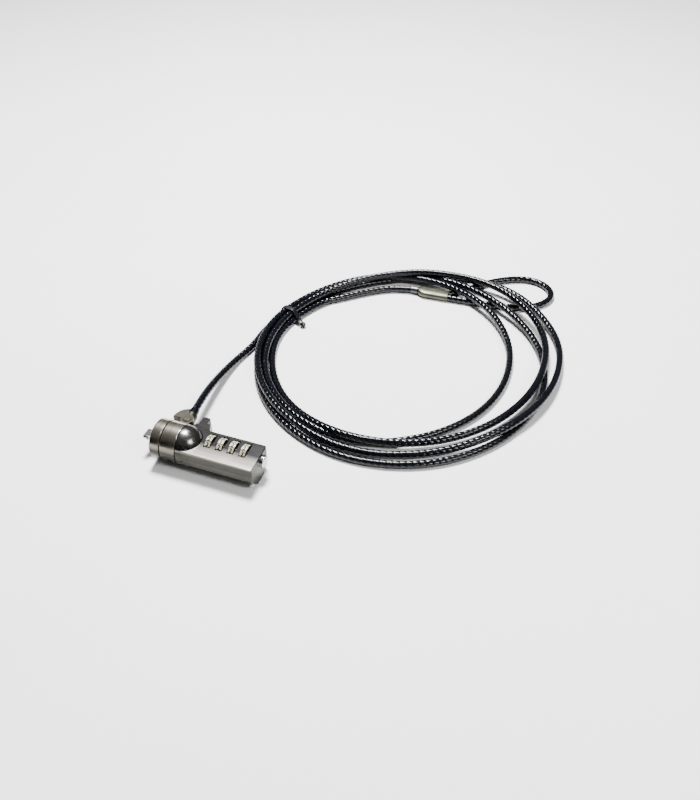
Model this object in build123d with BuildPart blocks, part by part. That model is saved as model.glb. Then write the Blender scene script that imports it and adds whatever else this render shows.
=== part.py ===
"""Laptop cable lock: a four-dial T-bar lock on a coiled, coated steel cable.

Millimetres, +Z up. The table is z = 0. +X runs along the lock from its nose to its button end,
and +Y points to the side that the cable leaves. The origin is the middle of the lock's own
footprint on the table; the cable lies beside it.
"""
from math import atan2, cos, degrees, pi, radians, sin, tan
import os

from build123d import *

os.makedirs("parts", exist_ok=True)

# ---------------------------------------------------------------- driving dimensions
HEAD_R = 10.25  # nose cap, collar and dome
NOSE_X = -25.05  # front face of the nose cap
AXIS_Y = -6.79  # the lock's axis, across
AXIS_Z = HEAD_R  # the lock's axis, above the table

CAP_END = 5.4  # stations along the axis, measured from the nose face
COLLAR_START, COLLAR_END = 6.05, 14.15
BODY_START, BODY_END = 14.8, 55.6
CAVITY_START, CAVITY_END = 20.0, 52.9
WEB_STATIONS, WEB_WIDTH = (21.5, 51.0), 1.1
DETENT_Z = -6.2  # underside of the detent spring's strip, from the axis

HALF_WIDTH = 9.3  # body, from the axis
TOP = 4.25  # flat top, above the axis
SIDE_FOOT = -4.2  # where the upright sides end
KEEL_HALF = 3.4  # half width of the flat underside
WALL = 1.3
PARTING = -1.05  # joint between the two housings, from the axis
PARTING_BEVEL = 0.25

SLEEVE_R = 6.0  # fixed sleeve that the collar turns on
SPINDLE_R = 2.5
RUNNING = 0.05  # radial clearance of a running fit
TBAR_WIDTH, TBAR_LENGTH = 2.8, 6.8
TBAR_TIP, TBAR_BACK = -7.6, -5.2
SPINDLE_SHOULDER = 3.1
GUIDE_PIN_Z, GUIDE_PIN_R = 2.45, 0.65
PIN_SLOT_START, PIN_SLOT_END = 9.2, 11.4
PIN_R = 1.0
PIN_ANGLE = 205.0  # the drive pin's direction at rest, about the axis
COLLAR_TURN = 90.0

DIAL_Y, DIAL_Z = 2.6, 1.6  # dial shaft, from the lock's axis
DIAL_R = 4.9
DIAL_WIDTH = 3.0
DIAL_STATIONS = [28.1 + 6.33 * i for i in range(4)]
DIGITS = 10
WINDOW_WIDTH, WINDOW_LENGTH = 3.6, 10.0
DIAL_BORE_R = 2.9
SLEEVE_BORE_R = 1.25
DRUM_R, DRUM_WIDTH = 1.9, 1.7  # gate drum beside each wheel
GATE_WIDTH, GATE_DEPTH = 1.2, 0.5
DRUM_CHANNEL_R = 2.2
SHAFT_R = 1.2
BUTTON_R = 3.2
BUTTON_DROP = 1.6     # the button's centre sits this far below its shaft
BUTTON_FACE = 57.7
BUTTON_TRAVEL = 1.5
SPRING_START, SPRING_END = 22.7, 25.3

BAR_Y = -5.3  # locking bar, from the lock's axis
BAR_START, BAR_END = 20.3, 51.3
BAR_TRAVEL = 0.7

PIVOT_S, PIVOT_Y = 8.7, 14.0  # cable swivel's upright pivot
KNUCKLE_LOW, KNUCKLE_HIGH = -2.9, 3.3
EAR_LOW, EAR_HIGH = -6.0, -3.2
GUARD_R = 8.2
CABLE_EXIT_ANGLE = 97.0
SOCKET_REACH = 5.6
CRIMP_REACH = 9.6
SOCKET_R = 3.2
EXIT_Z = 0.15  # cable's height at the swivel, from the axis

CABLE_D = 4.0
CABLE_R = CABLE_D / 2


# ---------------------------------------------------------------- placing helpers
def section(station):
    """A plane across the lock at a station; its x is the row's +Y, its y is +Z."""
    return Plane(origin=(NOSE_X + station, AXIS_Y, AXIS_Z), x_dir=(0, 1, 0), z_dir=(1, 0, 0))


def dial_section(station):
    """The same, centred on the dial shaft."""
    origin = (NOSE_X + station, AXIS_Y + DIAL_Y, AXIS_Z + DIAL_Z)
    return Plane(origin=origin, x_dir=(0, 1, 0), z_dir=(1, 0, 0))


def level(height):
    """A level plane at a height above the axis; its origin is on the nose face."""
    return Plane(origin=(NOSE_X, AXIS_Y, AXIS_Z + height), x_dir=(1, 0, 0), z_dir=(0, 0, 1))


def body_outline(inset):
    """Corner points of the body's cross-section, inset by a wall."""
    foot = SIDE_FOOT + 0.42 * inset
    keel = KEEL_HALF - 0.42 * inset
    side = HALF_WIDTH - inset
    return [(-side, TOP - inset), (side, TOP - inset), (side, foot), (keel, -HEAD_R + inset),
            (-keel, -HEAD_R + inset), (-side, foot)]


LUG_OUTLINE = [(BODY_START + 0.2, HALF_WIDTH - 1.0), (BODY_START + 0.2, 12.1), (16.4, 12.1), (16.4, 17.6),
               (20.6, 17.6), (20.6, 13.8), (22.4, 13.4), (24.8, HALF_WIDTH - 1.0)]
SCREWS = [(18.2, -5.6), (18.2, 6.2), (54.2, -7.0), (54.2, 7.2)]
SCREW_HEAD_R, SCREW_SHANK_R = 1.3, 0.8
SCREW_HEAD_Z = -6.6  # underside bosses' seat


def export(part, name):
    part.label = name
    export_step(part, f"parts/{name}.step")


# ---------------------------------------------------------------- housings
def housing_blank(low, high):
    """The dome and body between two heights, hollowed, with the rear lug."""
    with BuildPart() as blank:
        with BuildSketch(section(BODY_START)):
            with BuildLine():
                Polyline(*body_outline(0), close=True)
            make_face()
        extrude(amount=BODY_END - BODY_START)
        upright = blank.edges().filter_by(Axis.Z).sort_by(Axis.X)[-2:]
        fillet(upright, radius=1.2)
        fillet(blank.faces().sort_by(Axis.X)[-1].edges().sort_by(Axis.Z)[-1], radius=0.5)
        with BuildSketch(Plane(origin=(NOSE_X + BODY_START, AXIS_Y, AXIS_Z), x_dir=(1, 0, 0),
                               z_dir=(0, -1, 0))):
            with BuildLine():
                CenterArc((0, 0), HEAD_R, 0, 90)
                Line((0, HEAD_R), (0, 0))
                Line((0, 0), (HEAD_R, 0))
            make_face()
        revolve(axis=Axis((NOSE_X, AXIS_Y, AXIS_Z), (1, 0, 0)), revolution_arc=360)
        with BuildSketch(level(-5.0)) as lug:
            with BuildLine():
                Polyline(*LUG_OUTLINE, close=True)
            make_face()
            fillet(lug.vertices().group_by(Axis.Y)[-1], radius=0.8)
        extrude(amount=TOP - 0.3 + 5.0)
        # keep what lies between the two heights
        with BuildSketch(level(low)):
            with Locations((30, 0)):
                Rectangle(90, 60)
        extrude(amount=high - low, mode=Mode.INTERSECT)
        with BuildSketch(section(CAVITY_START)):
            with BuildLine():
                Polyline(*body_outline(WALL), close=True)
            make_face()
        extrude(amount=CAVITY_END - CAVITY_START, mode=Mode.SUBTRACT)
        with BuildSketch(section(BODY_START - 1)):
            Circle(SLEEVE_R)
        extrude(amount=17.2 - BODY_START + 1, mode=Mode.SUBTRACT)
        with BuildSketch(section(17.0)):
            Circle(4.6)
        extrude(amount=CAVITY_START - 17.0 + 0.1, mode=Mode.SUBTRACT)
        with BuildSketch(dial_section(CAVITY_END - 1)):
            with Locations((0, -BUTTON_DROP)):
                Circle(BUTTON_R + RUNNING)
        extrude(amount=6, mode=Mode.SUBTRACT)
    return blank.part


with BuildPart() as upper_housing:
    add(housing_blank(PARTING, TOP + HEAD_R))
    # four dial windows through the flat top
    with BuildSketch(level(TOP - WALL - 1)):
        with Locations(*[(s, DIAL_Y) for s in DIAL_STATIONS]):
            RectangleRounded(WINDOW_WIDTH, WINDOW_LENGTH, 0.3)
    extrude(amount=WALL + 2, mode=Mode.SUBTRACT)
    # webs that carry the dial shaft, with a saddle over it
    for web_station in WEB_STATIONS:
        with BuildSketch(section(web_station)):
            with Locations(((HALF_WIDTH - WALL) / 2 - 1.6, (TOP + PARTING) / 2)):
                Rectangle(9.4, TOP - PARTING - 0.4)
        extrude(amount=WEB_WIDTH)
    # round relief in the ceiling for the gate drums, and the shaft's bearings
    with BuildSketch(dial_section(WEB_STATIONS[0] + WEB_WIDTH)):
        Circle(DRUM_CHANNEL_R)
    extrude(amount=WEB_STATIONS[1] - WEB_STATIONS[0] - WEB_WIDTH, mode=Mode.SUBTRACT)
    with BuildSketch(dial_section(WEB_STATIONS[0] - 0.1)):
        Circle(SHAFT_R + RUNNING)
    extrude(amount=32, mode=Mode.SUBTRACT)
    # screw bosses beside the neck and the end wall
    with BuildSketch(level(PARTING)):
        with Locations(*SCREWS):
            Circle(SCREW_SHANK_R)
    extrude(amount=3.6, mode=Mode.SUBTRACT)
    rim = upper_housing.faces().filter_by(Axis.Z).group_by(Axis.Z)[0].sort_by(SortBy.AREA)[-1]
    chamfer(rim.outer_wire().edges().filter_by(Axis.X).group_by(SortBy.LENGTH)[-1], length=PARTING_BEVEL)
export(upper_housing.part, "upper_housing")

with BuildPart() as lower_housing:
    add(housing_blank(-HEAD_R, PARTING))
    # ear that reaches behind the collar and carries the swivel's pivot
    with BuildSketch(level(EAR_LOW)):
        with BuildLine():
            Polyline((PIVOT_S, PIVOT_Y - 3.5), (BODY_START + 0.3, PIVOT_Y - 3.5), (16.0, 8.0), (20.0, 8.0),
                     (20.0, 17.2), (PIVOT_S, PIVOT_Y + 3.5), close=True)
        make_face()
        with Locations((PIVOT_S, PIVOT_Y)):
            Circle(3.5)
    extrude(amount=EAR_HIGH - EAR_LOW)
    with BuildSketch(level(EAR_LOW)):
        with Locations((PIVOT_S, PIVOT_Y)):
            Circle(1.5)
    extrude(amount=EAR_HIGH - EAR_LOW, mode=Mode.SUBTRACT)
    # webs under the dial shaft
    for web_station in WEB_STATIONS:
        with BuildSketch(section(web_station)):
            with Locations((2.4, (PARTING - 8.0) / 2)):
                Rectangle(6.4, 8.0 + PARTING)
        extrude(amount=WEB_WIDTH)
    # rib that the detent spring sits on
    with BuildSketch(section(WEB_STATIONS[0])):
        with Locations((2.4, (DETENT_Z - 9.2) / 2)):
            Rectangle(1.4, DETENT_Z + 9.2)
    extrude(amount=WEB_STATIONS[1] - WEB_STATIONS[0])
    # screw passages with counterbores from below
    with BuildSketch(level(PARTING)):
        with Locations(*SCREWS):
            Circle(SCREW_SHANK_R)
    extrude(amount=-9.2, mode=Mode.SUBTRACT)
    with BuildSketch(level(SCREW_HEAD_Z)):
        with Locations(*SCREWS):
            Circle(SCREW_HEAD_R)
    extrude(amount=-4, mode=Mode.SUBTRACT)
    rim = lower_housing.faces().filter_by(Axis.Z).group_by(Axis.Z)[-1].sort_by(SortBy.AREA)[-1]
    chamfer(rim.outer_wire().edges().filter_by(Axis.X).group_by(SortBy.LENGTH)[-1], length=PARTING_BEVEL)
export(lower_housing.part, "lower_housing")

with BuildPart() as housing_screws:
    with BuildSketch(level(SCREW_HEAD_Z)):
        with Locations(*SCREWS):
            Circle(SCREW_SHANK_R)
    extrude(amount=PARTING - SCREW_HEAD_Z + 3.2)
    with BuildSketch(level(SCREW_HEAD_Z)):
        with Locations(*SCREWS):
            Circle(SCREW_HEAD_R)
    extrude(amount=-1.0)
    with BuildSketch(level(SCREW_HEAD_Z - 1.0)):
        with Locations(*SCREWS):
            RegularPolygon(0.6, 6)
    extrude(amount=0.6, mode=Mode.SUBTRACT)
export(housing_screws.part, "housing_screws")

# ---------------------------------------------------------------- head: fixed pieces
with BuildPart() as nose_cap:
    with BuildSketch(section(0)):
        Circle(HEAD_R)
    extrude(amount=CAP_END)
    fillet(nose_cap.faces().sort_by(Axis.X)[0].edges(), radius=0.6)
    fillet(nose_cap.faces().sort_by(Axis.X)[-1].edges(), radius=0.25)
    with BuildSketch(section(CAP_END - 0.5)):
        Circle(SLEEVE_R)
    extrude(amount=17.0 - CAP_END + 0.5)
    with BuildSketch(section(-1)):
        Circle(TBAR_WIDTH / 2 + RUNNING)
    extrude(amount=20, mode=Mode.SUBTRACT)
    with BuildSketch(section(SPINDLE_SHOULDER - RUNNING)):
        Circle(SPINDLE_R + RUNNING)
    extrude(amount=20, mode=Mode.SUBTRACT)
    # two arcs that let the drive pin swing with the collar
    for side in (0, 180):
        start = PIN_ANGLE + side - COLLAR_TURN - 26
        with BuildSketch(section(PIN_SLOT_START)):
            with BuildLine():
                inner = CenterArc((0, 0), SPINDLE_R - 0.5, start, COLLAR_TURN + 52)
                outer = CenterArc((0, 0), SLEEVE_R + 0.5, start, COLLAR_TURN + 52)
                Line(inner @ 0, outer @ 0)
                Line(inner @ 1, outer @ 1)
            make_face()
        extrude(amount=PIN_SLOT_END - PIN_SLOT_START, mode=Mode.SUBTRACT)
    # holes for the two guide pins, above and below the neck
    with BuildSketch(section(-1)):
        with Locations((0, -GUIDE_PIN_Z), (0, GUIDE_PIN_Z)):
            Circle(GUIDE_PIN_R)
    extrude(amount=3, mode=Mode.SUBTRACT)
export(nose_cap.part, "nose_cap")

with BuildPart() as guide_pins:
    with BuildSketch(section(-2.6)):
        with Locations((0, -GUIDE_PIN_Z), (0, GUIDE_PIN_Z)):
            Circle(GUIDE_PIN_R)
    extrude(amount=4.6)
    fillet(guide_pins.faces().filter_by(Axis.X).group_by(Axis.X)[0].edges(), radius=0.25)
export(guide_pins.part, "guide_pins")

for name, start, end in (("front_seal_ring", CAP_END, COLLAR_START - 0.05),
                         ("rear_seal_ring", COLLAR_END + 0.05, BODY_START)):
    with BuildPart() as seal_ring:
        with BuildSketch(section(start)):
            Circle(HEAD_R - 0.35)
            Circle(SLEEVE_R, mode=Mode.SUBTRACT)
        extrude(amount=end - start)
    export(seal_ring.part, name)

# ---------------------------------------------------------------- head: turning pieces
with BuildPart() as turn_collar:
    with BuildSketch(section(COLLAR_START)):
        Circle(HEAD_R)
        Circle(SLEEVE_R + RUNNING, mode=Mode.SUBTRACT)
    extrude(amount=COLLAR_END - COLLAR_START)
    fillet(turn_collar.edges().filter_by(GeomType.CIRCLE).sort_by(SortBy.RADIUS)[-2:], radius=0.25)
    pin_plane = Plane(origin=(NOSE_X + 10.3, AXIS_Y, AXIS_Z), x_dir=(1, 0, 0),
                      z_dir=(0, cos(radians(PIN_ANGLE)), sin(radians(PIN_ANGLE))))
    with BuildSketch(pin_plane):
        Circle(PIN_R)
    extrude(amount=12, both=True, mode=Mode.SUBTRACT)
export(turn_collar.part, "turn_collar")

with BuildPart() as drive_pin:
    with BuildSketch(pin_plane):
        Circle(PIN_R)
    extrude(amount=HEAD_R - 0.35, both=True)
export(drive_pin.part, "drive_pin")

with BuildPart() as tbar_spindle:
    with BuildSketch(section(SPINDLE_SHOULDER)):
        Circle(SPINDLE_R)
    extrude(amount=17.1 - SPINDLE_SHOULDER)
    with BuildSketch(section(TBAR_BACK)):
        Circle(TBAR_WIDTH / 2)
    extrude(amount=-TBAR_BACK + SPINDLE_SHOULDER + 0.5)
    with BuildSketch(section(TBAR_TIP)):
        SlotOverall(TBAR_LENGTH, TBAR_WIDTH)
    extrude(amount=TBAR_BACK - TBAR_TIP)
    fillet(tbar_spindle.faces().sort_by(Axis.X)[0].edges(), radius=0.5)
    with BuildSketch(pin_plane):
        Circle(PIN_R)
    extrude(amount=6, both=True, mode=Mode.SUBTRACT)
    # squared tail for the cam
    with BuildSketch(section(17.1)):
        Rectangle(2.6, 2.6)
    extrude(amount=1.05)
export(tbar_spindle.part, "tbar_spindle")

CAM_THROW = 0.7  # offset of the cam's boss: towards -Y at rest, above the axis after the turn
CAM_R = 0.9
with BuildPart() as spindle_cam:
    with BuildSketch(section(17.15)):
        Circle(4.2)
        Rectangle(2.6, 2.6, mode=Mode.SUBTRACT)
    extrude(amount=1.0)
    with BuildSketch(section(18.15)):
        with Locations((-CAM_THROW, 0)):
            Circle(CAM_R)
        Rectangle(2.7, 2.7)
    extrude(amount=0.5)
    with BuildSketch(section(18.65)):
        with Locations((-CAM_THROW, 0)):
            Circle(CAM_R)
    extrude(amount=2.2)
export(spindle_cam.part, "spindle_cam")

# ---------------------------------------------------------------- dials
for index, station in enumerate(DIAL_STATIONS, start=1):
    with BuildPart() as dial_wheel:
        with BuildSketch(dial_section(station - DIAL_WIDTH / 2)):
            RegularPolygon(DIAL_R, DIGITS, rotation=6)
            Circle(DIAL_BORE_R, mode=Mode.SUBTRACT)
        extrude(amount=DIAL_WIDTH)
        # grip grooves between the digits
        with BuildSketch(dial_section(station - DIAL_WIDTH / 2)):
            with PolarLocations(DIAL_R + 0.1, DIGITS, start_angle=6):
                Circle(0.42)
        extrude(amount=DIAL_WIDTH, mode=Mode.SUBTRACT)
    export(dial_wheel.part, f"dial_wheel_{index}")

    with BuildPart() as clutch_sleeve:
        with BuildSketch(dial_section(station - DIAL_WIDTH / 2)):
            Circle(DIAL_BORE_R)
        extrude(amount=DIAL_WIDTH)
        with BuildSketch(dial_section(station + DIAL_WIDTH / 2)):
            Circle(DRUM_R)
            with Locations((-DRUM_R, 0), (DRUM_R, 0)):
                Rectangle(2 * GATE_DEPTH, GATE_WIDTH, mode=Mode.SUBTRACT)
        extrude(amount=DRUM_WIDTH)
        with BuildSketch(dial_section(station - 4)):
            Circle(SLEEVE_BORE_R)
        extrude(amount=9, mode=Mode.SUBTRACT)
    export(clutch_sleeve.part, f"clutch_sleeve_{index}")

# ---------------------------------------------------------------- code-change button and shaft
with BuildPart() as release_shaft:
    with BuildSketch(dial_section(20.6)):
        Circle(SHAFT_R)
    extrude(amount=54.4 - 20.6)
export(release_shaft.part, "release_shaft")

with BuildPart() as reset_button:
    with BuildSketch(dial_section(54.0)):
        with Locations((0, -BUTTON_DROP)):
            Circle(BUTTON_R)
    extrude(amount=BUTTON_FACE - 54.0)
    fillet(reset_button.faces().sort_by(Axis.X)[-1].edges(), radius=0.5)
    with BuildSketch(dial_section(53.0)):
        Circle(SHAFT_R)
    extrude(amount=1.4, mode=Mode.SUBTRACT)
    # three raised grip ridges' gaps
    with BuildSketch(dial_section(BUTTON_FACE - 0.5)):
        with Locations((0, -BUTTON_DROP)):
            with GridLocations(0, 1.5, 1, 4):
                Rectangle(7.4, 0.6)
    extrude(amount=1, mode=Mode.SUBTRACT)
export(reset_button.part, "reset_button")

with BuildPart() as shaft_clip:
    with BuildSketch(dial_section(SPRING_END)):
        Circle(1.8)
        Circle(SHAFT_R, mode=Mode.SUBTRACT)
    extrude(amount=0.5)
export(shaft_clip.part, "shaft_clip")

with BuildPart() as button_spring:
    with BuildLine() as spring_wire:
        Helix(pitch=0.8, height=SPRING_END - SPRING_START - 0.36, radius=1.6,
              center=dial_section(SPRING_START + 0.18).origin, direction=(1, 0, 0))
    with BuildSketch(Plane(origin=spring_wire.line @ 0, z_dir=spring_wire.line % 0)):
        Circle(0.16)
    sweep(is_frenet=True)
export(button_spring.part, "button_spring")

# ---------------------------------------------------------------- locking bar and detent spring
with BuildPart() as locking_bar:
    with BuildSketch(section(BAR_START)):
        with Locations((BAR_Y, DIAL_Z - 0.5)):
            Rectangle(1.6, 2.4)
    extrude(amount=BAR_END - BAR_START)
    # yoke round the cam's boss, open at the top beside the release shaft
    with BuildSketch(section(BAR_START)):
        with BuildLine():
            Polyline((BAR_Y - 0.8, 2.3), (BAR_Y - 0.8, -2.4), (1.2, -2.4), (1.2, 0.0), (0.4, 0.0),
                     (0.4, -1.2), (-1.8, -1.2), (-1.8, 2.3), close=True)
        make_face()
    extrude(amount=0.8)
    # teeth that drop into the drums' gates when all four numbers are right
    tooth_tip = DIAL_Y - DRUM_R - 0.35
    for station in DIAL_STATIONS:
        with BuildSketch(section(station + DIAL_WIDTH / 2 + 0.5)):
            with Locations(((BAR_Y + tooth_tip) / 2, DIAL_Z)):
                Rectangle(tooth_tip - BAR_Y, 0.8)
        extrude(amount=DRUM_WIDTH - 0.7)
export(locking_bar.part, "locking_bar")

with BuildPart() as detent_spring:
    with BuildSketch(section(WEB_STATIONS[0] + WEB_WIDTH)):
        with Locations((3.0, DETENT_Z + 0.2)):
            Rectangle(2.8, 0.4)
    extrude(amount=WEB_STATIONS[1] - WEB_STATIONS[0] - WEB_WIDTH)
    for station in DIAL_STATIONS:
        with BuildSketch(section(station - 1.0)):
            with BuildLine():
                Polyline((4.4, DETENT_Z), (4.4, -4.15), (1.4, -3.5), (1.4, -3.75), (4.1, -4.35),
                         (4.1, DETENT_Z), close=True)
            make_face()
        extrude(amount=2.0)
export(detent_spring.part, "detent_spring")

# ---------------------------------------------------------------- cable swivel
with BuildPart() as swivel_knuckle:
    with BuildSketch(level(KNUCKLE_LOW)):
        with Locations((PIVOT_S, PIVOT_Y)):
            Circle(3.4)
        with BuildLine():
            guard = CenterArc((PIVOT_S, PIVOT_Y), GUARD_R, 108, 72)
            Line((PIVOT_S, PIVOT_Y), guard @ 0)
            Line((PIVOT_S, PIVOT_Y), guard @ 1)
        make_face()
    extrude(amount=KNUCKLE_HIGH - KNUCKLE_LOW)
    fillet(swivel_knuckle.faces().sort_by(Axis.Z)[-1].edges().filter_by(GeomType.CIRCLE)
           .sort_by(SortBy.RADIUS)[-1], radius=1.2)
    exit_dir = (cos(radians(CABLE_EXIT_ANGLE)), sin(radians(CABLE_EXIT_ANGLE)), 0)
    pivot = (NOSE_X + PIVOT_S, AXIS_Y + PIVOT_Y, AXIS_Z + EXIT_Z)
    socket_plane = Plane(origin=pivot, z_dir=exit_dir)
    with BuildSketch(socket_plane.offset(1.6)):
        Circle(SOCKET_R - 0.1)
    extrude(amount=SOCKET_REACH - 1.6)
    with BuildSketch(socket_plane.offset(3.2)):
        Circle(2.5)
    extrude(amount=9, mode=Mode.SUBTRACT)
    with BuildSketch(level(KNUCKLE_LOW - 1)):
        with Locations((PIVOT_S, PIVOT_Y)):
            Circle(1.5 + RUNNING)
    extrude(amount=9, mode=Mode.SUBTRACT)
export(swivel_knuckle.part, "swivel_knuckle")

with BuildPart() as swivel_rivet:
    with BuildSketch(level(EAR_LOW - 0.9)):
        with Locations((PIVOT_S, PIVOT_Y)):
            Circle(2.4)
    extrude(amount=0.9)
    with BuildSketch(level(EAR_LOW)):
        with Locations((PIVOT_S, PIVOT_Y)):
            Circle(1.5)
    extrude(amount=KNUCKLE_HIGH + 0.1 - EAR_LOW)
    with BuildSketch(level(KNUCKLE_HIGH + 0.05)):
        with Locations((PIVOT_S, PIVOT_Y)):
            Circle(2.2)
    extrude(amount=0.5)
    fillet(swivel_rivet.faces().sort_by(Axis.Z)[-1].edges(), radius=0.35)
export(swivel_rivet.part, "swivel_rivet")

with BuildPart() as cable_crimp:
    with BuildSketch(socket_plane.offset(3.2)):
        Circle(2.5)
        Circle(CABLE_R, mode=Mode.SUBTRACT)
    extrude(amount=CRIMP_REACH - 3.2)
export(cable_crimp.part, "cable_crimp")

# ---------------------------------------------------------------- cable
EXIT_POINT = Vector(pivot) + Vector(exit_dir) * 3.4
LEAD_BEND = Vector(pivot) + Vector(exit_dir) * 16.0
LEAD_ROUTE = [
    tuple(EXIT_POINT),
    tuple(LEAD_BEND),
    (-20.3, 38.5, 8.2),
    (-21.6, 55.5, 4.6),
    (-21.4, 71.5, 2.05),
    (-19.0, 88.0, 2.0),
    (-16.5, 104.0, 2.0),
]
TAIL_ROUTE = [
    (15.5, 153.2, 2.05),
    (28.5, 165.0, 2.1),
    (41.0, 173.0, 2.2),
    (54.0, 175.8, 2.4),
]
LOOP_ROUTE = [
    (77.3, 178.3, 2.3),
    (86.0, 187.6, 2.1),
    (97.0, 200.4, 2.05),
    (108.0, 208.6, 2.0),
    (120.0, 213.6, 2.0),
    (131.0, 211.6, 2.0),
    (138.0, 204.0, 2.0),
    (138.4, 194.6, 2.0),
    (132.2, 185.2, 2.0),
    (121.6, 179.0, 2.0),
    (107.0, 176.6, 2.0),
    (91.5, 175.4, 2.1),
    (77.3, 174.2, 2.3),
]
COIL_CENTRE = (63.1, 107.6)
COIL_HEIGHT = 8.0
# edges of the wound turns, every 30 degrees clockwise from -X, measured from the coil's centre
COIL_OUTER = [82.0, 79.5, 81.0, 91.5, 100.5, 101.0, 94.5, 91.5, 92.5, 90.0, 86.0, 83.0]
COIL_INNER = [67.0, 65.5, 63.5, 70.0, 71.0, 66.5, 63.0, 63.5, 67.0, 71.5, 72.0, 69.0]


def cable_run(route, name):
    """A tube of the cable's section along straight runs joined by the largest tangent arcs."""
    points = [Vector(*p) for p in route]
    runs = [b - a for a, b in zip(points, points[1:])]
    radii = []
    for before, after in zip(runs, runs[1:]):
        half_turn = radians(before.get_angle(after)) / 2
        radii.append(0.45 * min(before.length, after.length) / tan(half_turn))
    with BuildPart() as tube:
        with BuildLine() as path:
            FilletPolyline(*points, radius=radii)
        with BuildSketch(Plane(origin=path.line @ 0, z_dir=path.line % 0)):
            Circle(CABLE_R)
        sweep()
    length = sum(edge.length for edge in path.line.edges())
    print(name, "length", round(length, 1), "radii", [round(r) for r in radii],
          "volume ratio", round(tube.part.volume / (length * pi * CABLE_R**2), 4))
    export(tube.part, name)


cable_run(LEAD_ROUTE, "cable_lead")
cable_run(TAIL_ROUTE, "cable_tail")
cable_run(LOOP_ROUTE, "cable_loop")

def coil_edge(radii):
    """A closed outline through the radii, as straight runs joined by large tangent arcs."""
    step = radians(360 / len(radii))
    # the arcs pass inside the corners, so the corners stand out by half of that
    spread = 2 / (1 + cos(step / 2))
    points = []
    for index, radius in enumerate(radii):
        angle = pi - index * step
        points.append(Vector(*COIL_CENTRE) + Vector(cos(angle), sin(angle)) * radius * spread)
    runs = [b - a for a, b in zip(points, points[1:] + points[:1])]
    bends = []
    for before, after in zip(runs[-1:] + runs, runs):
        half_turn = radians(before.get_angle(after)) / 2
        bends.append(0.45 * min(before.length, after.length) / tan(half_turn))
    FilletPolyline(*points, radius=bends, close=True)


with BuildPart() as cable_coil:
    with BuildSketch():
        with BuildLine():
            coil_edge(COIL_OUTER)
        make_face()
        with BuildLine():
            coil_edge(COIL_INNER)
        make_face(mode=Mode.SUBTRACT)
    extrude(amount=COIL_HEIGHT)
    fillet(cable_coil.edges(), radius=CABLE_R)
export(cable_coil.part, "cable_coil")

# ---------------------------------------------------------------- loop's swaged sleeve
FERRULE_X, FERRULE_Y, FERRULE_Z = 57.0, 176.2, 2.4
FERRULE_LENGTH, FERRULE_HEIGHT = 20.3, 4.7
FERRULE_HALF_WIDTHS = (2.7, 4.8, 4.15)  # at the cable's end, at the shoulder, at the loop's end
FERRULE_SHOULDER = 4.6
with BuildPart() as loop_ferrule:
    with BuildSketch(Plane.XY.offset(FERRULE_Z - FERRULE_HEIGHT / 2)) as ferrule_plan:
        neck, shoulder, mouth = FERRULE_HALF_WIDTHS
        with BuildLine(Plane((FERRULE_X, FERRULE_Y, 0))):
            Polyline((0, -neck), (FERRULE_SHOULDER, -shoulder), (FERRULE_LENGTH, -mouth),
                     (FERRULE_LENGTH, mouth), (FERRULE_SHOULDER, shoulder), (0, neck), close=True)
        make_face()
        fillet(ferrule_plan.vertices().sort_by(Axis.X)[:-2], radius=1.5)
    extrude(amount=FERRULE_HEIGHT)
    rims = loop_ferrule.faces().filter_by(Axis.Z).edges()
    fillet(rims, radius=1.4)
export(loop_ferrule.part, "loop_ferrule")

with BuildPart() as ferrule_collar:
    with BuildSketch(Plane(origin=(FERRULE_X - 4.2, FERRULE_Y - 0.5, FERRULE_Z), x_dir=(0, 1, 0),
                           z_dir=(1, 0, 0))):
        Circle(2.4)
    extrude(amount=4.2)
export(ferrule_collar.part, "ferrule_collar")

# ---------------------------------------------------------------- twist tie round the coil
TIE_ANGLE = 11.5  # clockwise from -X about the coil's centre
TIE_RADIUS, TIE_WIDTH, TIE_HEIGHT = 72.6, 16.4, 8.6
TIE_STRIP, TIE_GAUGE = 2.2, 0.6
with BuildPart() as twist_tie:
    outward = (-cos(radians(TIE_ANGLE)), sin(radians(TIE_ANGLE)), 0)
    along = (sin(radians(TIE_ANGLE)), cos(radians(TIE_ANGLE)), 0)
    tie_origin = Vector(*COIL_CENTRE, TIE_HEIGHT / 2) + Vector(outward) * TIE_RADIUS
    with BuildSketch(Plane(origin=tie_origin, x_dir=outward, z_dir=along)):
        RectangleRounded(TIE_WIDTH, TIE_HEIGHT, 3.0)
        RectangleRounded(TIE_WIDTH - 2 * TIE_GAUGE, TIE_HEIGHT - 2 * TIE_GAUGE, 2.4, mode=Mode.SUBTRACT)
    extrude(amount=TIE_STRIP / 2, both=True)
export(twist_tie.part, "twist_tie")
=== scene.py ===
"""Laptop cable lock: four-dial lock head, coil of coated steel cable, swaged loop.

Lengths are in millimetres unless a name or comment says metres; MM turns them into metres.
"""
import math

import bmesh
import bpy
from mathutils import Matrix, Vector

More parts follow.
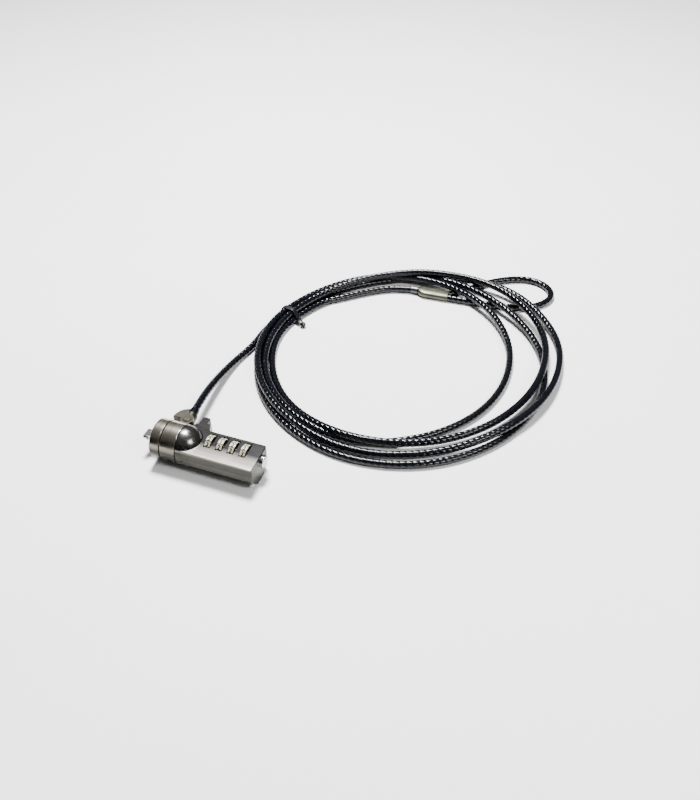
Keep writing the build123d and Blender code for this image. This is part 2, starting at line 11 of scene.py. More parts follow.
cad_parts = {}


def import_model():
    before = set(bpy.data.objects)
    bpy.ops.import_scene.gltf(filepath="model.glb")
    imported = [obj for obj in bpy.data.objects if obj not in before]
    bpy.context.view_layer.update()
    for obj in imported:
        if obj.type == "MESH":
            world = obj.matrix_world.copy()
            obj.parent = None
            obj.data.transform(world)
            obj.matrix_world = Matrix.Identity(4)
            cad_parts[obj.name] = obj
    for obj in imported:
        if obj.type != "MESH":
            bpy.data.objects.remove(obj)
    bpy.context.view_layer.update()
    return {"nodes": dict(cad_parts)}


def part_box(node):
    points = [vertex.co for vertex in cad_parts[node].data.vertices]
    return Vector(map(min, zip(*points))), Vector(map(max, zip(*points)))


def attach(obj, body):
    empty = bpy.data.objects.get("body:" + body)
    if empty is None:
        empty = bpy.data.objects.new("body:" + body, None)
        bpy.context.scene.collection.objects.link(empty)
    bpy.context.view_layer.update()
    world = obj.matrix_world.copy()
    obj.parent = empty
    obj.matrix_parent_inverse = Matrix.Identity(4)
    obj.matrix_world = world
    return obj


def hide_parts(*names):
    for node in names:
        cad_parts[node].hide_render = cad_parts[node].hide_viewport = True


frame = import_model()
NODES = frame["nodes"]
MM = 0.001

# ---------------------------------------------------------------- cord route
COIL_CENTRE = (63.1, 107.6)      # X and Y
SPREAD = 1.035                   # the spline runs inside its points, so they stand out
CABLE_D = 4.0
LEAD = [(-16.79, 10.58, 10.4), (-18.3, 23.1, 10.4), (-20.3, 38.5, 8.2),
        (-21.6, 55.5, 4.6), (-21.2, 71.5, 2.05), (-17.6, 88.0, 2.0)]
TURN_STEP = 30                   # degrees
# radius and height of each turn, at every TURN_STEP clockwise from -X
TURNS = [
    [(78.2, 2.0), (76.4, 2.0), (79.2, 2.6), (81.2, 5.8), (79.8, 6.8), (84.1, 3.0),
     (86.7, 2.0), (87.5, 2.0), (88.8, 2.0), (87.9, 2.0), (83.2, 2.0), (79.8, 2.0)],
    [(75.0, 2.0), (72.4, 2.0), (75.0, 2.0), (84.6, 2.4), (96.0, 7.8), (98.6, 2.4),
     (91.0, 5.4), (85.4, 6.2), (81.8, 2.4), (82.3, 2.4), (80.8, 5.6), (79.4, 5.8)],
    [(77.6, 5.5), (74.9, 5.4), (77.8, 5.4), (77.4, 5.6), (72.6, 6.2), (68.0, 3.4),
     (64.8, 2.0), (65.6, 2.0), (69.2, 2.0), (76.3, 2.0), (76.8, 4.4), (75.3, 3.8)],
    [(73.0, 5.5), (70.9, 5.6), (72.9, 8.2), (80.8, 9.8), (90.6, 9.2), (90.0, 6.4),
     (82.6, 6.0), (78.0, 4.8), (75.0, 3.4), (75.7, 5.7), (73.2, 3.2), (70.6, 2.0)],
    [(71.0, 2.0), (67.3, 2.0)],
]
TAIL = [(15.5, 153.2, 2.0), (28.5, 165.0, 2.0), (41.0, 173.0, 2.1), (54.0, 175.8, 2.4)]
LOOP = [(66.0, 176.6, 2.4), (77.3, 178.3, 2.3), (86.0, 187.6, 2.1), (97.0, 200.4, 2.05),
        (108.0, 208.6, 2.0), (120.0, 213.6, 2.0), (131.0, 211.6, 2.0), (138.0, 204.0, 2.0),
        (138.4, 194.6, 2.0), (132.2, 185.2, 2.0), (121.6, 179.0, 2.0), (107.0, 176.6, 2.0),
        (91.5, 175.4, 2.1), (77.3, 174.2, 2.3), (60.0, 174.4, 2.4)]
LINE_STEPS = 24                  # points read from the spline for each of its spans
SHORTEST_STEP = 0.02             # points closer than this are one
TUBE_COLUMNS = 36
STRANDS = 6
LAY = 20.0                       # length of cable for one turn of a strand
RELIEF = 0.20                    # how far a strand shows through the jacket
CREST = 0.11                     # how far a strand's crest stands proud of the nominal tube


def route_points():
    """From the collar's mouth, round the coil, out along the tail and round the loop."""
    pts = list(LEAD)
    for turn in TURNS:
        for k, (radius, height) in enumerate(turn):
            a = math.radians(180 - TURN_STEP * k)
            r = radius * SPREAD
            pts.append((COIL_CENTRE[0] + r * math.cos(a), COIL_CENTRE[1] + r * math.sin(a), height))
    return pts + TAIL + LOOP


def spline_line(points, resolution):
    """The points of a quadratic NURBS line through the route, in metres."""
    curve = bpy.data.curves.new("line", "CURVE")
    curve.dimensions = "3D"
    curve.resolution_u = resolution
    spline = curve.splines.new("NURBS")
    spline.points.add(len(points) - 1)
    for p, q in zip(spline.points, points):
        p.co = (q[0] * MM, q[1] * MM, q[2] * MM, 1.0)
    spline.order_u = 3
    spline.use_endpoint_u = True
    obj = bpy.data.objects.new("line", curve)
    bpy.context.scene.collection.objects.link(obj)
    bpy.context.view_layer.update()
    mesh = bpy.data.meshes.new_from_object(obj)
    line = [v.co.copy() for v in mesh.vertices]
    bpy.data.objects.remove(obj)
    bpy.data.curves.remove(curve)
    bpy.data.meshes.remove(mesh)
    out = [line[0]]
    for p in line[1:]:
        if (p - out[-1]).length > SHORTEST_STEP * MM:
            out.append(p)
    return out


def new_object(name, bm, material, smooth=True):
    """The bmesh as an object of the scene. The bmesh is used up."""
    mesh = bpy.data.meshes.new(name)
    bm.to_mesh(mesh)
    bm.free()
    for f in mesh.polygons:
        f.use_smooth = smooth
    mesh.materials.append(material)
    obj = bpy.data.objects.new(name, mesh)
    bpy.context.scene.collection.objects.link(obj)
    return obj


def skin(bm, rings, closed=False):
    """Faces between rings of as many vertices each. The ends are capped unless the run is closed."""
    count = len(rings[0])
    pairs = list(zip(rings, rings[1:])) + ([(rings[-1], rings[0])] if closed else [])
    for a, b in pairs:
        for j in range(count):
            k = (j + 1) % count
            bm.faces.new((a[j], a[k], b[k], b[j]))
    if not closed:
        bm.faces.new(list(reversed(rings[0])))
        bm.faces.new(rings[-1])


def rope_tube(name, line, columns, material):
    """A tube along the line whose columns follow the strands under the jacket."""
    bm = bmesh.new()
    tangent = (line[1] - line[0]).normalized()
    side = tangent.cross(Vector((0, 0, 1))).normalized()
    rings = []
    run = 0.0
    for i, p in enumerate(line):
        if i:
            run += (p - line[i - 1]).length
            nxt = line[min(i + 1, len(line) - 1)]
            new = (nxt - line[i - 1]).normalized()
            side = (side - new * side.dot(new)).normalized()
            tangent = new
        up = tangent.cross(side).normalized()
        twist = 2 * math.pi * run / (LAY * MM)
        ring = []
        for j in range(columns):
            a = 2 * math.pi * j / columns
            lobe = abs(math.cos(a * STRANDS / 2))
            r = (CABLE_D / 2 - RELIEF * (1 - lobe) ** 1.5 + CREST) * MM
            b = a + twist
            ring.append(bm.verts.new(p + side * (r * math.cos(b)) + up * (r * math.sin(b))))
        rings.append(ring)
    skin(bm, rings)
    bmesh.ops.recalc_face_normals(bm, faces=bm.faces)
    return new_object(name, bm, material)


# ----------------------------------------------------------------- materials
FINE_BUMP = 0.00003              # metres
EDGE_WEAR = 0.00035              # metres, reach of the wear along an edge
RING_PAINTED_SHADE = (0.0112, 0.0175)     # metres above the floor: painted shade darkens the ring below, full tone above
PLATE_PAINTED_LIGHT = (0.003, -0.0155)    # metres in Y, from the plate's back, painted dark as shade, to its near edge, painted pale as a reflection
PLATE_RIM = (0.0137, 0.0143)     # metres above the floor, flank below, painted dark as shade, and plate above
DOME_RIM = (0.0146, 0.0152)      # metres above the floor, plate below and dome above


class Nodes:
    """Short calls for a material's node tree."""

    def __init__(self, name):
        self.mat = bpy.data.materials.new(name)
        self.mat.use_nodes = True
        self.tree = self.mat.node_tree
        self.bsdf = self.tree.nodes["Principled BSDF"]

    def add(self, kind, **values):
        node = self.tree.nodes.new(kind)
        for key, value in values.items():
            setattr(node, key, value)
        return node

    def link(self, a, b):
        self.tree.links.new(a, b)

    def noise(self, scale, stretch=(1, 1, 1), detail=3.0):
        coord = self.add("ShaderNodeTexCoord")
        mapping = self.add("ShaderNodeMapping")
        mapping.inputs["Scale"].default_value = stretch
        noise = self.add("ShaderNodeTexNoise")
        noise.inputs["Scale"].default_value = scale
        noise.inputs["Detail"].default_value = detail
        self.link(coord.outputs["Object"], mapping.inputs["Vector"])
        self.link(mapping.outputs["Vector"], noise.inputs["Vector"])
        return noise.outputs["Fac"]

    def ramp(self, factor, low, high, stops=(0.3, 0.7)):
        """From one colour to another between two values of the factor."""
        ramp = self.add("ShaderNodeValToRGB")
        for element, position, colour in zip(ramp.color_ramp.elements, stops, (low, high)):
            element.position = position
            element.color = (*colour, 1)
        self.link(factor, ramp.inputs["Fac"])
        return ramp.outputs["Color"]

    def span(self, factor, low, high, start=0.3, stop=0.7):
        """From one number to another between two values of the factor."""
        span = self.add("ShaderNodeMapRange")
        for name, value in (("From Min", start), ("From Max", stop), ("To Min", low), ("To Max", high)):
            span.inputs[name].default_value = value
        self.link(factor, span.inputs["Value"])
        return span.outputs["Result"]

    def place(self):
        """The point's X, Y and Z in metres, in the part's own frame."""
        coord = self.add("ShaderNodeTexCoord")
        parts = self.add("ShaderNodeSeparateXYZ")
        self.link(coord.outputs["Object"], parts.inputs[0])
        return parts.outputs

    def flat(self, colour):
        node = self.add("ShaderNodeRGB")
        node.outputs[0].default_value = (*colour, 1)
        return node.outputs[0]

    def mix(self, factor, a, b):
        mix = self.add("ShaderNodeMix", data_type="RGBA")
        self.link(factor, mix.inputs["Factor"])
        self.link(a, mix.inputs[6])
        self.link(b, mix.inputs[7])
        return mix.outputs[2]

    def times(self, a, b):
        mix = self.add("ShaderNodeMix", data_type="RGBA", blend_type="MULTIPLY")
        mix.inputs["Factor"].default_value = 1.0
        self.link(a, mix.inputs[6])
        self.link(b, mix.inputs[7])
        return mix.outputs[2]

    def bump(self, height, strength, distance=FINE_BUMP):
        bump = self.add("ShaderNodeBump")
        bump.inputs["Strength"].default_value = strength
        bump.inputs["Distance"].default_value = distance
        self.link(height, bump.inputs["Height"])
        self.link(bump.outputs["Normal"], self.bsdf.inputs["Normal"])

    def set(self, **values):
        for key, value in values.items():
            self.bsdf.inputs[key.replace("_", " ")].default_value = value

    def colour(self, socket):
        self.link(socket, self.bsdf.inputs["Base Color"])

    def roughness(self, socket):
        self.link(socket, self.bsdf.inputs["Roughness"])


def metal(name, low, high, rough, grain=900.0, stretch=(0.06, 1, 1), bump=0.12):
    """Plated or bare metal: tone in soft clouds, roughness and bump along its grain."""
    n = Nodes(name)
    n.set(Metallic=1.0)
    clouds = n.noise(90.0, detail=4.0)
    lines = n.noise(grain, stretch, detail=2.0)
    n.colour(n.ramp(clouds, low, high))
    n.roughness(n.span(lines, *rough))
    n.bump(lines, bump)
    return n.mat


def worn_metal(name, low, high, worn, rough, grain, stretch, bump, low_painted_shade=1.0):
    """The same with lighter metal along the edges, and painted shade that darkens the colour toward the
    bottom when the low factor is under 1.
    """
    n = Nodes(name)
    n.set(Metallic=1.0)
    clouds = n.noise(70.0, detail=4.0)
    lines = n.noise(grain, stretch, detail=2.0)
    rounded = n.add("ShaderNodeBevel", samples=4)
    rounded.inputs["Radius"].default_value = EDGE_WEAR
    plain = n.add("ShaderNodeNewGeometry")
    turn = n.add("ShaderNodeVectorMath", operation="DOT_PRODUCT")
    n.link(rounded.outputs[0], turn.inputs[0])
    n.link(plain.outputs["Normal"], turn.inputs[1])
    edge = n.ramp(turn.outputs["Value"], (0.8, 0.8, 0.8), (0, 0, 0), (0.90, 0.985))
    tone = n.mix(edge, n.ramp(clouds, low, high), n.flat(worn))
    # painted shade: the colour is multiplied down toward the bottom of the part
    n.colour(n.times(tone, n.span(n.place()["Z"], low_painted_shade, 1.0, *RING_PAINTED_SHADE)))
    n.roughness(n.span(lines, *rough))
    n.bump(lines, bump)
    return n.mat


def top_metal(name):
    """Satin plating of the upper half with painted light: flank painted dark as shade, plate painted
    dark at the back and paler toward the near edge as a painted reflection, and dome.
    """
    n = Nodes(name)
    n.set(Metallic=1.0)
    at = n.place()
    # painted light on the plate: dark at the back as shade, pale toward the near edge as a reflection
    tone = n.ramp(n.span(at["Y"], 0.0, 1.0, *PLATE_PAINTED_LIGHT), (0.018, 0.018, 0.019), (0.30, 0.285, 0.26),
                  (0.50, 1.0))
    dome = n.span(at["Z"], 0.0, 1.0, *DOME_RIM)
    tone = n.mix(dome, tone, n.flat((0.15, 0.147, 0.142)))
    # painted shade: everything below the plate's rim, the flank, is painted dark
    tone = n.mix(n.span(at["Z"], 0.0, 1.0, *PLATE_RIM), n.flat((0.040, 0.0395, 0.034)), tone)
    clouds = n.ramp(n.noise(120.0, detail=5.0), (0.80, 0.80, 0.80), (1.0, 0.985, 0.96))
    n.colour(n.times(tone, clouds))
    lines = n.noise(1100.0, (0.05, 1, 1), detail=2.0)
    rough = n.add("ShaderNodeMath", operation="ADD")
    n.link(n.span(lines, 0.30, 0.42), rough.inputs[0])
    n.link(n.span(dome, 0.0, -0.13, 0.0, 1.0), rough.inputs[1])
    n.roughness(rough.outputs[0])
    n.bump(lines, 0.16)
    return n.mat


def pvc_jacket():
    n = Nodes("black_pvc_jacket")
    n.set(Specular_IOR_Level=0.34)
    haze = n.noise(240.0, detail=4.0)
    n.colour(n.ramp(haze, (0.0006, 0.0008, 0.0018), (0.0014, 0.0019, 0.0040)))
    n.roughness(n.span(n.noise(800.0, detail=2.0), 0.10, 0.16))
    n.bump(n.noise(2600.0, detail=2.0), 0.10)
    return n.mat


def rubber():
    n = Nodes("seal_rubber")
    n.set(Specular_IOR_Level=0.1)
    n.colour(n.ramp(n.noise(500.0), (0.0006, 0.0006, 0.0007), (0.002, 0.002, 0.0022)))
    n.roughness(n.span(n.noise(900.0), 0.5, 0.7))
    n.bump(n.noise(3000.0), 0.15)
    return n.mat


def tie_plastic():
    n = Nodes("tie_plastic")
    n.set(Specular_IOR_Level=0.3)
    n.colour(n.ramp(n.noise(400.0), (0.0008, 0.0008, 0.0011), (0.0025, 0.0025, 0.003)))
    n.roughness(n.span(n.noise(700.0, (1, 1, 0.2)), 0.34, 0.46))
    n.bump(n.noise(1500.0), 0.2, 0.00005)
    return n.mat


def ferrule_alloy():
    n = Nodes("ferrule_alloy")
    n.set(Metallic=1.0)
    n.colour(n.ramp(n.noise(160.0, detail=5.0), (0.062, 0.064, 0.046), (0.105, 0.107, 0.082)))
    n.roughness(n.span(n.noise(700.0, (0.15, 1, 1)), 0.36, 0.50))
    n.bump(n.noise(900.0, detail=4.0), 0.25, 0.00006)
    return n.mat


def digit_plate():
    n = Nodes("dial_cream")
    n.set(Metallic=0.1)
    n.colour(n.ramp(n.noise(900.0, detail=4.0), (0.36, 0.335, 0.22), (0.60, 0.57, 0.44)))
    n.roughness(n.span(n.noise(1500.0), 0.20, 0.34))
    n.bump(n.noise(2500.0), 0.10)
    return n.mat


def digit_paint():
    n = Nodes("dial_ink")
    n.set(Specular_IOR_Level=0.1)
    n.colour(n.ramp(n.noise(1200.0), (0.0010, 0.0009, 0.0008), (0.004, 0.0036, 0.003)))
    n.roughness(n.span(n.noise(1500.0), 0.35, 0.5))
    return n.mat


def paint_nodes():
    """Every CAD node gets the finish that its slot names."""
    # the ring's last factor, 0.06, is the painted shade low down on it
    ring = worn_metal("nickel_ring_painted_shade", (0.34, 0.312, 0.255), (0.46, 0.43, 0.365), (0.62, 0.60, 0.54),
                      (0.19, 0.27), 900.0, (1, 0.05, 0.05), 0.10, 0.06)
    # the flank nickel is painted far darker than the ring's, as painted shade on the sides
    side = worn_metal("nickel_side_painted_shade", (0.034, 0.034, 0.028), (0.055, 0.054, 0.046), (0.12, 0.118, 0.105),
                      (0.28, 0.40), 900.0, (0.05, 1, 1), 0.06)
    top = top_metal("nickel_top_painted_light")
    bright = metal("chrome_bright", (0.78, 0.78, 0.79), (0.90, 0.90, 0.91), (0.07, 0.16), bump=0.05)
    steel = metal("steel_plain", (0.42, 0.42, 0.43), (0.56, 0.56, 0.57), (0.22, 0.34))
    brass = metal("brass_machined", (0.55, 0.40, 0.17), (0.70, 0.53, 0.25), (0.2, 0.32))
    knuckle = worn_metal("nickel_knuckle", (0.034, 0.032, 0.025), (0.055, 0.051, 0.041),
                         (0.13, 0.12, 0.10), (0.36, 0.48), 700.0, (1, 1, 1), 0.25)
    collar = metal("collar_alloy", (0.045, 0.048, 0.05), (0.075, 0.08, 0.082), (0.3, 0.42))
    dial = metal("dial_body", (0.10, 0.09, 0.07), (0.17, 0.155, 0.12), (0.30, 0.45), 1500.0, (1, 1, 1))
    # nickel slots that no node claims get the flank nickel, with its painted shade
    finish = {"nickel": side, "chrome": bright, "steel": steel, "black_rubber": rubber(),
              "dial_metal": dial, "brass": brass, "black_pvc": pvc_jacket(),
              "ferrule_metal": ferrule_alloy(), "black_plastic": tie_plastic()}
    by_node = {"nose_cap": ring, "turn_collar": ring, "upper_housing": top, "lower_housing": side,
               "swivel_knuckle": knuckle, "swivel_rivet": knuckle, "reset_button": bright,
               "ferrule_collar": collar, "cable_crimp": finish["black_pvc"]}
    for name, node in NODES.items():
        for slot in node.material_slots:
            slot.material = by_node.get(name) or finish[slot.material.name.split(".")[0]]
    return finish


# --------------------------------------------------------------------- dials
DIAL_AXIS = (-4.19, 11.85)       # Y and Z
FACETS = 10
DIGITS_SHOWN = {1: 3, 2: 2, 3: 3, 4: 3}   # dial: the digit on its near facet
NEAR_FACET = 3                   # the facet toward the camera at rest
FACET = 4.66                     # axis to the middle of a facet
FIRST_FACET = 24.0               # degrees from +Y toward +Z
PLATE_HALF = (1.36, 1.20)        # half a digit field, along the axis and round the drum
PLATE_CORNER = 0.35
PLATE_LEVELS = ((0.0, -0.06), (0.0, 0.05), (0.08, 0.09))   # inset and height over the facet
DIGIT_SIZE = 3.0
DIGIT_LIFT = 0.10                # digits stand on the fields
DIGIT_RELIEF = 0.03
DIGIT_WEIGHT = 0.10              # added to every stroke's edge


def facet_matrix(x_mid, angle, lift):
    """Local X along the lock, local Y round the drum, local Z out of the facet."""
    a = math.radians(angle)
    out = Vector((0, math.cos(a), math.sin(a)))
    along = Vector((1, 0, 0))
    up = out.cross(along)
    m = Matrix((along, up, out)).transposed().to_4x4()
    m.translation = Vector((x_mid, DIAL_AXIS[0], DIAL_AXIS[1])) * MM + out * ((FACET + lift) * MM)
    return m


def rounded_outline(half_x, half_y, radius, steps=4):
    """A rectangle with round corners, counterclockwise."""
    pts = []
    for cx, cy, start in ((1, 1, 0), (-1, 1, 90), (-1, -1, 180), (1, -1, 270)):
        for k in range(steps + 1):
            a = math.radians(start + 90 * k / steps)
            pts.append((cx * (half_x - radius) + radius * math.cos(a),
                        cy * (half_y - radius) + radius * math.sin(a)))
    return pts


def add_plate(bm, matrix):
    """One raised digit field with rounded corners and a chamfered edge."""
    loops = []
    for inset, z in PLATE_LEVELS:
        outline = rounded_outline(PLATE_HALF[0] - inset, PLATE_HALF[1] - inset, PLATE_CORNER)
        loops.append([bm.verts.new(matrix @ (Vector((x, y, z)) * MM)) for x, y in outline])
    skin(bm, loops)


def digit_mesh(digit, size):
    """The digit as a thin solid, centred on the middle of its outline."""
    curve = bpy.data.curves.new("digit", "FONT")
    curve.body = str(digit)
    curve.size = size * MM
    curve.align_x = "CENTER"
    curve.align_y = "CENTER"
    curve.extrude = DIGIT_RELIEF * MM
    curve.offset = DIGIT_WEIGHT * MM
    curve.resolution_u = 4
    obj = bpy.data.objects.new("digit", curve)
    bpy.context.scene.collection.objects.link(obj)
    bpy.context.view_layer.update()
    mesh = bpy.data.meshes.new_from_object(obj)
    bpy.data.objects.remove(obj)
    bpy.data.curves.remove(curve)
    xs = [v.co.x for v in mesh.vertices]
    ys = [v.co.y for v in mesh.vertices]
    mid = Vector(((min(xs) + max(xs)) / 2, (min(ys) + max(ys)) / 2, 0))
    for v in mesh.vertices:
        v.co -= mid
    return mesh


def dial(index, near_digit, cream, ink):
    """Cream fields and their digits round a drum, with near_digit on the near facet."""
    lo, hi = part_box("dial_wheel_%d" % index)
    x_mid = (lo.x + hi.x) / 2 / MM
    plates = bmesh.new()
    digits = bmesh.new()
    for k in range(FACETS):
        angle = FIRST_FACET + 360 / FACETS * k
        add_plate(plates, facet_matrix(x_mid, angle, 0.0))
        mesh = digit_mesh((near_digit + k - NEAR_FACET) % FACETS, DIGIT_SIZE)
        mesh.transform(facet_matrix(x_mid, angle, DIGIT_LIFT))
        digits.from_mesh(mesh)
        bpy.data.meshes.remove(mesh)
    for bm, name, mat in ((plates, "dial_fields_%d" % index, cream),
                          (digits, "dial_digits_%d" % index, ink)):
        bmesh.ops.recalc_face_normals(bm, faces=bm.faces)
        obj = new_object(name, bm, mat, smooth=False)
        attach(obj, "dial_%d" % index)


# ----------------------------------------------------------------- twist tie
TIE_ANGLE = 11.5                 # degrees clockwise from -X round the coil
TIE_RADIUS = 73.4                # from the coil's centre to the bundle's middle
TIE_REACH = 12.0                 # turns within this of the middle are held
TIE_GAP = 0.42                   # cable surface to the middle of the band
TIE_LOWEST = 0.33                # the band's middle stays this far above the floor
TIE_STEPS = 72
TIE_BAND = (1.5, 0.8)            # half width and thickness
TIE_END = (0.8, 0.7)
KNOB = (1.6, 117.0, 1.9)
KNOB_RADII = (1.75, 1.65, 1.6)


def tie_frame():
    """The bundle's middle under the tie, the way out of the coil there and the way along it."""
    a = math.radians(180 - TIE_ANGLE)
    out = Vector((math.cos(a), math.sin(a), 0))
    along = Vector((0, 0, 1)).cross(out)
    centre = Vector((COIL_CENTRE[0], COIL_CENTRE[1], 0)) + out * TIE_RADIUS
    return centre, out, along


def strip(bm, outline, closed, half_width, thickness):
    """A flat strip with rounded edges along an outline of (point, normal, side)."""
    profile = [(-1.0, 0.0), (-0.93, 0.42), (-0.75, 0.5), (0.0, 0.56), (0.75, 0.5), (0.93, 0.42),
               (1.0, 0.0), (0.93, -0.42), (0.75, -0.5), (0.0, -0.5), (-0.75, -0.5), (-0.93, -0.42)]
    rings = []
    for point, normal, side in outline:
        rings.append([bm.verts.new((point + side * (half_width * u) + normal * (thickness * v)) * MM)
                      for u, v in profile])
    skin(bm, rings, closed)


def crossings(line, centre, out, along):
    """Radial offset and height of each turn where the tie goes round the bundle."""
    found = []
    for a, b in zip(line, line[1:]):
        da, db = (a / MM - centre).dot(along), (b / MM - centre).dot(along)
        if da * db < 0:
            p = a.lerp(b, da / (da - db)) / MM
            u = (p - centre).dot(out)
            if abs(u) < TIE_REACH:
                found.append((u, p.z))
    return found


def bow(start, middle, end, steps=16):
    """A smooth bowed line from start to end."""
    return [start.lerp(middle, k / steps).lerp(middle.lerp(end, k / steps), k / steps)
            for k in range(steps + 1)]


def twist_tie(line, material):
    """A flat tie drawn round the bundle, its ends joined in a knob beside it."""
    centre, out, along = tie_frame()
    up = Vector((0, 0, 1))
    cores = crossings(line, centre, out, along)
    bm = bmesh.new()
    grow = CABLE_D / 2 + TIE_GAP
    outline = []
    for k in range(TIE_STEPS):
        a = math.radians(360 / TIE_STEPS * k)
        n2 = (math.cos(a), math.sin(a))
        core = max(cores, key=lambda c: c[0] * n2[0] + c[1] * n2[1])
        u = core[0] + grow * n2[0]
        z = max(TIE_LOWEST, core[1] + grow * n2[1])
        point = centre + out * u + up * z
        outline.append((point, out * n2[0] + up * n2[1], along))
    strip(bm, outline, True, *TIE_BAND)
    # the two ends run to the knob and leave a small eye between them
    knob = Vector(KNOB)
    inner = min(cores)
    edge = centre + out * (inner[0] - grow)
    top = edge + up * (inner[1] + 1.2)
    low = edge + along * 2.6 + out * 1.4 + up * 0.6
    for start, middle in ((top, top - out * 2.2 + along * 0.4), (low, low - out * 1.6 + along * 1.4)):
        path = bow(start, middle, knob)
        ribbon = []
        for i, p in enumerate(path):
            t = (path[min(i + 1, len(path) - 1)] - path[max(i - 1, 0)]).normalized()
            side = t.cross(up).normalized()
            ribbon.append((p, side, side.cross(t)))
        strip(bm, ribbon, False, *TIE_END)
    # a slightly twisted ball where the ends are wound together
    ball = bmesh.ops.create_icosphere(bm, subdivisions=4, radius=1.0)
    for v in ball["verts"]:
        d = v.co.normalized()
        wrap = 1.0 + 0.10 * math.sin(5.0 * math.atan2(d.z, d.x) + 3.0 * d.y)
        v.co = (knob + Vector(c * r for c, r in zip(d, KNOB_RADII)) * wrap) * MM
    bmesh.ops.recalc_face_normals(bm, faces=bm.faces)
    obj = new_object("tie_band", bm, material)
    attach(obj, "cable")
    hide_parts("twist_tie")
    return obj


# ------------------------------------------------------------------- ferrule
FERRULE_COLUMNS = 48
FERRULE_ROUND = 0.82             # 1 is an ellipse, less is squarer
# X, half width and half height of each section
FERRULE_SECTIONS = [(57.0, 2.2, 2.0), (57.5, 2.8, 2.2), (58.4, 3.6, 2.3), (59.6, 4.35, 2.34),
                    (61.2, 4.8, 2.35), (63.0, 4.85, 2.35), (66.0, 4.72, 2.35), (70.0, 4.5, 2.35),
                    (74.0, 4.3, 2.33), (76.4, 4.18, 2.3), (77.0, 4.08, 2.24), (77.3, 3.9, 2.1)]
FERRULE_MID = (176.2, 2.4)       # Y and Z of its axis


def ferrule(material):
    """The swaged sleeve: a smooth flattened pear, full at the cable end."""
    bm = bmesh.new()
    rings = []
    for x, half_w, half_h in FERRULE_SECTIONS:
        ring = []
        for j in range(FERRULE_COLUMNS):
            a = 2 * math.pi * j / FERRULE_COLUMNS
            c, q = math.cos(a), math.sin(a)
            y = half_w * math.copysign(abs(c) ** FERRULE_ROUND, c)
            z = half_h * math.copysign(abs(q) ** FERRULE_ROUND, q)
            ring.append(bm.verts.new(Vector((x, FERRULE_MID[0] + y, FERRULE_MID[1] + z)) * MM))
        rings.append(ring)
    skin(bm, rings)
    bmesh.ops.recalc_face_normals(bm, faces=bm.faces)
    obj = new_object("swaged_ferrule", bm, material)
    smooth = obj.modifiers.new("smooth", "SUBSURF")
    smooth.levels = 1
    smooth.render_levels = 1
    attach(obj, "cable")
    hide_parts("loop_ferrule")
    return obj


# --------------------------------------------------------------------- cable
def cable(line, material):
    """The visible cord on the cable body, in place of the CAD cord pieces."""
    tube = rope_tube("lock_cable", line, TUBE_COLUMNS, material)
    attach(tube, "cable")
    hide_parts("cable_lead", "cable_coil", "cable_tail", "cable_loop")


# --------------------------------------------------------------------- stage
CAMERA_AT = (0.16675, -0.2507, 0.2962)    # metres
CAMERA_AIM = (0.0516, 0.0637, 0.0)
CAMERA_LENS = 36.63
SKY_LEAN = 0.32                  # how far +Y counts beside Z in the sky's brightness
SKY_DARK = (0.15, (0.04, 0.04, 0.042, 1))
SKY_LIGHT = (0.95, (1.0, 0.99, 0.97, 1))
SKY_STRENGTH = 0.32
SEEN_GREY = 0.80                 # what the camera sees past the floor
SEEN_STRENGTH = 2.5
FLOOR_DROP = 0.00002             # metres, so the part's undersides don't flicker


def floor():
    """A pale sheet under the part."""
    bm = bmesh.new()
    bmesh.ops.create_grid(bm, x_segments=40, y_segments=40, size=3.0)
    n = Nodes("studio_floor")
    n.colour(n.ramp(n.noise(6.0), (0.90, 0.90, 0.90), (0.93, 0.93, 0.93)))
    n.set(Roughness=0.6, Specular_IOR_Level=0.2)
    obj = new_object("studio_floor", bm, n.mat)
    obj.location.z = -FLOOR_DROP


def area(name, place, target, size, power):
    light = bpy.data.lights.new(name, "AREA")
    light.shape = "RECTANGLE"
    light.size, light.size_y = size
    light.energy = power
    obj = bpy.data.objects.new(name, light)
    obj.location = place
    obj.rotation_euler = (Vector(target) - Vector(place)).to_track_quat("-Z", "Y").to_euler()
    bpy.context.scene.collection.objects.link(obj)


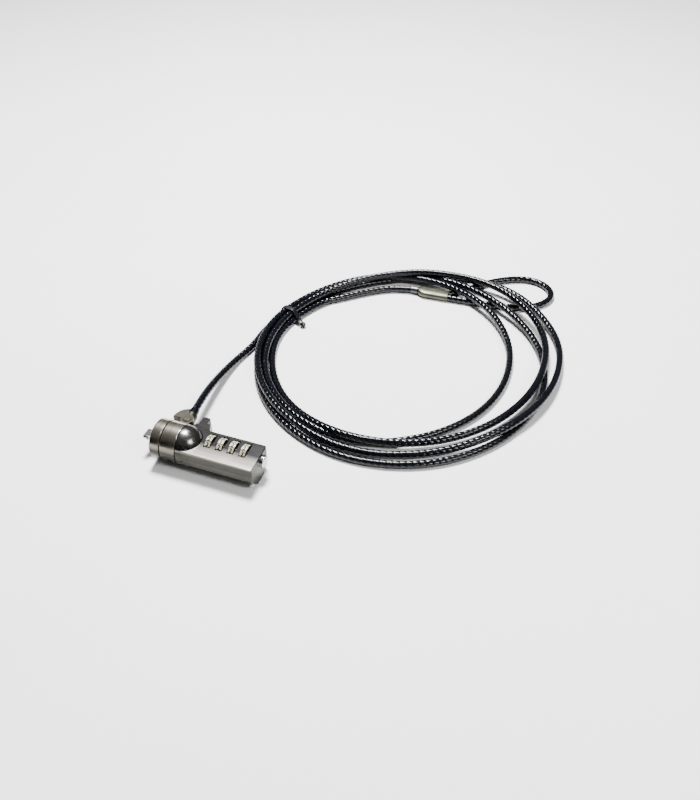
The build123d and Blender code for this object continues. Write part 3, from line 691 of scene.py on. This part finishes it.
def world():
    """Light that is brighter overhead and behind the lock, darker on the near side.

    What shows past the floor is plain pale grey.
    """
    w = bpy.data.worlds.new("studio")
    bpy.context.scene.world = w
    w.use_nodes = True
    nodes, link = w.node_tree.nodes, w.node_tree.links.new
    coord = nodes.new("ShaderNodeTexCoord")
    split = nodes.new("ShaderNodeSeparateXYZ")
    link(coord.outputs["Generated"], split.inputs[0])
    lean = nodes.new("ShaderNodeMath")
    lean.operation = "MULTIPLY_ADD"
    lean.inputs[1].default_value = SKY_LEAN
    link(split.outputs["Y"], lean.inputs[0])
    link(split.outputs["Z"], lean.inputs[2])
    ramp = nodes.new("ShaderNodeValToRGB")
    for stop, (position, colour) in zip(ramp.color_ramp.elements, (SKY_DARK, SKY_LIGHT)):
        stop.position = position
        stop.color = colour
    link(lean.outputs[0], ramp.inputs["Fac"])
    back = nodes["Background"]
    back.inputs["Strength"].default_value = SKY_STRENGTH
    link(ramp.outputs["Color"], back.inputs["Color"])
    seen = nodes.new("ShaderNodeBackground")
    seen.inputs["Color"].default_value = (SEEN_GREY, SEEN_GREY, SEEN_GREY, 1)
    seen.inputs["Strength"].default_value = SEEN_STRENGTH
    path = nodes.new("ShaderNodeLightPath")
    choose = nodes.new("ShaderNodeMixShader")
    link(path.outputs["Is Camera Ray"], choose.inputs[0])
    link(back.outputs[0], choose.inputs[1])
    link(seen.outputs[0], choose.inputs[2])
    link(choose.outputs[0], nodes["World Output"].inputs["Surface"])


def camera():
    cam = bpy.data.cameras.new("camera")
    cam.lens = CAMERA_LENS
    cam.sensor_width = 36.0
    cam.clip_start = 0.01
    obj = bpy.data.objects.new("camera", cam)
    obj.location = CAMERA_AT
    obj.rotation_euler = (Vector(CAMERA_AIM) - Vector(CAMERA_AT)).to_track_quat("-Z", "Y").to_euler()
    bpy.context.scene.collection.objects.link(obj)
    bpy.context.scene.camera = obj


def studio():
    """Floor, sky, a key light from behind, a small fill from the right, and the camera."""
    floor()
    world()
    area("key", (-0.12, 0.38, 0.95), (0.05, 0.10, 0.0), (0.26, 0.22), 42.0)
    area("fill", (0.75, -0.15, 0.75), (0.05, 0.08, 0.0), (0.25, 0.25), 7.0)
    camera()


finish = paint_nodes()
cord_line = spline_line(route_points(), LINE_STEPS)
tie = twist_tie(cord_line, finish["black_plastic"])
sleeve = ferrule(finish["ferrule_metal"])
cable(cord_line, finish["black_pvc"])
cream, ink = digit_plate(), digit_paint()
for number, digit in DIGITS_SHOWN.items():
    dial(number, digit, cream, ink)
studio()
